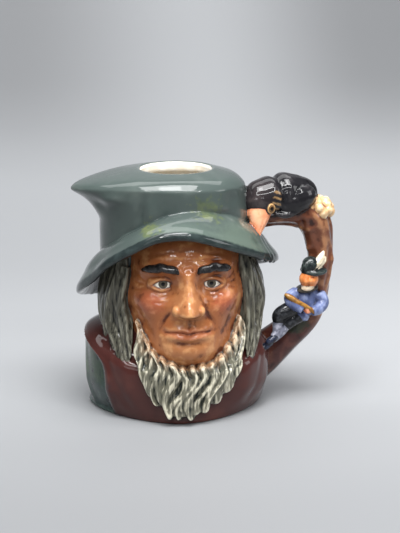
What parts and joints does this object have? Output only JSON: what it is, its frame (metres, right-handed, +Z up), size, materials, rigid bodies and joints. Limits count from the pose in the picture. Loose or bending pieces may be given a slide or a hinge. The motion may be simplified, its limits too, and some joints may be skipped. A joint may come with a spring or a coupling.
{
  "type": "toby jug",
  "caption": "Hollow glazed earthenware character jug: bearded head in a drooping hat with a pinched pouring tip, round mouth in its top and a branch handle with a bird and a resting figure.",
  "frame": {"origin": "centre of the flat underside of the shoulders, on which the jug stands", "axes": "+Z up, -Y the way the face looks, +X towards the handle, -X towards the pouring tip"},
  "size_m": [0.1133, 0.0861, 0.102],
  "materials": {
    "painted_glaze": "underglaze painting under a clear gloss glaze"
  },
  "bodies": {
    "root": {"jug": "painted_glaze"}
  },
  "joints": []
}
